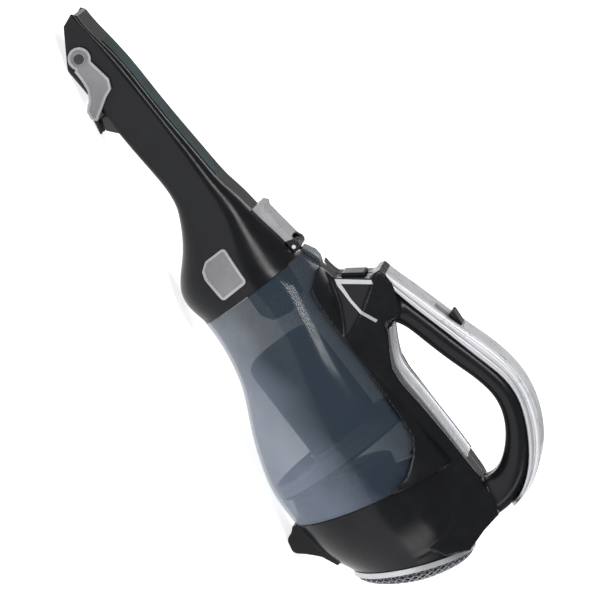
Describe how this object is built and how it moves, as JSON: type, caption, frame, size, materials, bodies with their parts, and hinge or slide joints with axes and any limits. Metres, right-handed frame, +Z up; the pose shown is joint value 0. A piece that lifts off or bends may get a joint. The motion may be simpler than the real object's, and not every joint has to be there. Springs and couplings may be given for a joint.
{
  "type": "handheld vacuum",
  "caption": "Cordless handheld vacuum: long crevice nozzle with flip-up brush, see-through dust bowl with a screened filter, and a loop handle over the motor housing.",
  "frame": {"origin": "on the floor under the middle of the overall length", "axes": "+X forward to the nozzle tip, +Y to the vacuum's left, +Z up from the floor it rests on"},
  "size_m": [0.4915, 0.1202, 0.2116],
  "materials": {
    "black_gloss": "glossy moulded black",
    "smoky_clear": "translucent smoky blue-grey plastic",
    "pearl_silver": "pearl silver paint",
    "silver_trim": "satin silver",
    "lilac_grey": "mid-grey satin plastic",
    "teal_inlay": "tinted gloss strip",
    "dark_plastic": "matte black plastic",
    "grey_plastic": "moulded grey plastic",
    "mesh_dark": "fine dark woven screen",
    "pleated_media": "pleated filter paper",
    "seal_rubber": "soft rubber",
    "foam": "open-cell foam",
    "motor_steel": "plated steel",
    "armature_copper": "copper windings on laminated steel",
    "ferrite": "ferrite magnets",
    "bronze": "sintered bronze",
    "cell_wrap": "shrink-wrapped battery cell",
    "board_green": "printed circuit board",
    "spring_steel": "bright spring wire",
    "bristle": "stiff nylon tufts"
  },
  "bodies": {
    "main_body": {"housing_left": "black_gloss", "housing_right": "black_gloss", "spine_band": "silver_trim", "spine_cap": "pearl_silver", "opening_trim": "silver_trim", "side_trim": "silver_trim", "bulkhead": "dark_plastic", "motor_plate": "dark_plastic", "motor_can": "motor_steel", "motor_end_bell": "dark_plastic", "motor_magnets": "ferrite", "motor_bushes": "bronze", "vent_ring": "silver_trim", "vent_grille": "silver_trim", "exhaust_foam": "foam", "battery_cells": "cell_wrap", "battery_tabs": "motor_steel", "battery_tray": "dark_plastic", "control_board": "board_green", "charge_jack": "dark_plastic", "switch_body": "dark_plastic", "release_spring": "spring_steel", "housing_screws": "spring_steel"},
    "rotor": {"motor_shaft": "spring_steel", "armature": "armature_copper", "impeller": "dark_plastic"},
    "switch": {"switch_knob": "black_gloss"},
    "release": {"release_button": "black_gloss"},
    "bowl": {"dust_bowl": "smoky_clear", "hinge_pin": "spring_steel"},
    "filter": {"filter_frame": "grey_plastic", "prefilter_screen": "mesh_dark", "pleated_filter": "pleated_media", "filter_gasket": "seal_rubber"},
    "nozzle": {"nozzle_shell": "black_gloss", "nozzle_inlay": "teal_inlay", "hinge_strap": "lilac_grey", "nozzle_gasket": "seal_rubber", "inlet_duct": "dark_plastic", "latch_springs": "spring_steel", "brush_pins": "dark_plastic", "brush_pocket": "dark_plastic"},
    "latch_left": {"latch_button_left": "lilac_grey"},
    "latch_right": {"latch_button_right": "lilac_grey"},
    "flip_brush": {"brush_yoke": "lilac_grey", "brush_bristles": "bristle"},
    "flap": {"inlet_flap": "seal_rubber"}
  },
  "joints": [
    {"name": "rotor_spin", "type": "hinge", "parent": "main_body", "child": "rotor", "pos_m": [-0.18, 0, 0.054], "axis": [1, 0, 0], "continuous": true},
    {"name": "switch_slide", "type": "slide", "parent": "main_body", "child": "switch", "axis": [0.8829, 0, -0.4695], "range_m": [0, 0.008]},
    {"name": "release_press", "type": "slide", "parent": "main_body", "child": "release", "axis": [-0.9285, 0, -0.3714], "range_m": [0, 0.003], "stiffness_N_per_m": 800, "deforming": ["release_spring"]},
    {"name": "bowl_slide", "type": "slide", "parent": "main_body", "child": "bowl", "axis": [0.9816, 0, -0.1908], "range_m": [0, 0.2]},
    {"name": "filter_slide", "type": "slide", "parent": "bowl", "child": "filter", "axis": [-0.989, 0, 0.1478], "range_m": [0, 0.09]},
    {"name": "nozzle_hinge", "type": "hinge", "parent": "bowl", "child": "nozzle", "pos_m": [0.0225, 0, 0.0975], "axis": [0, -1, 0], "range_deg": [0, 90]},
    {"name": "latch_press_left", "type": "slide", "parent": "nozzle", "child": "latch_left", "axis": [0, -1, 0], "range_m": [0, 0.0025], "stiffness_N_per_m": 800},
    {"name": "latch_press_right", "type": "slide", "parent": "nozzle", "child": "latch_right", "axis": [0, 1, 0], "range_m": [0, 0.0025], "stiffness_N_per_m": 800},
    {"name": "brush_flip", "type": "hinge", "parent": "nozzle", "child": "flip_brush", "pos_m": [0.213, 0, 0.0125], "axis": [0, -1, 0], "range_deg": [0, 165]},
    {"name": "flap_swing", "type": "hinge", "parent": "nozzle", "child": "flap", "pos_m": [-0.0159, 0, 0.076], "axis": [0, 1, 0], "range_deg": [0, 60]}
  ],
  "couplings": [
    {"joint": "filter_slide", "follows": "bowl_slide", "ratio": 0.45}
  ]
}
